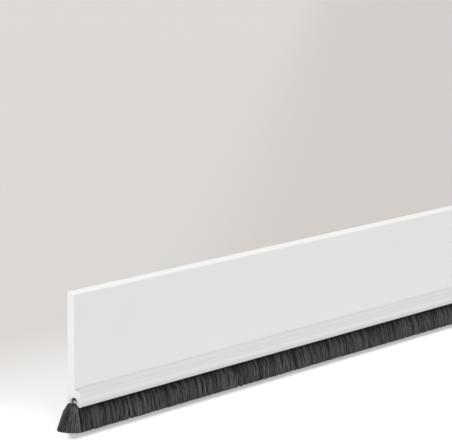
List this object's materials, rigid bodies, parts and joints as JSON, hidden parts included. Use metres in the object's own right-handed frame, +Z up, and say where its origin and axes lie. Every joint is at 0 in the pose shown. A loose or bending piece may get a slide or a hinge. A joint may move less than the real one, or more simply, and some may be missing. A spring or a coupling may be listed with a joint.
{
  "type": "door brush seal",
  "caption": "Rigid white plate with a pocket along its foot that holds a black brush; its back sticks to a door to close the gap at the floor.",
  "frame": {"origin": "centre of the adhesive tape's outer face, where the seal meets the door", "axes": "+X along the strip, +Y out of the adhesive face into the door, +Z up; the front faces -Y and the brush hangs at -Z"},
  "size_m": [1.0096, 0.012, 0.0545],
  "materials": {
    "white_pvc": "satin extruded rigid PVC",
    "black_pile": "dense polypropylene filament",
    "galvanised_wire": "galvanised",
    "foam_tape": "closed-cell foam with acrylic adhesive"
  },
  "bodies": {
    "root": {"carrier_profile": "white_pvc", "bristles": "black_pile", "core_wire": "galvanised_wire", "adhesive_tape": "foam_tape"}
  },
  "joints": []
}
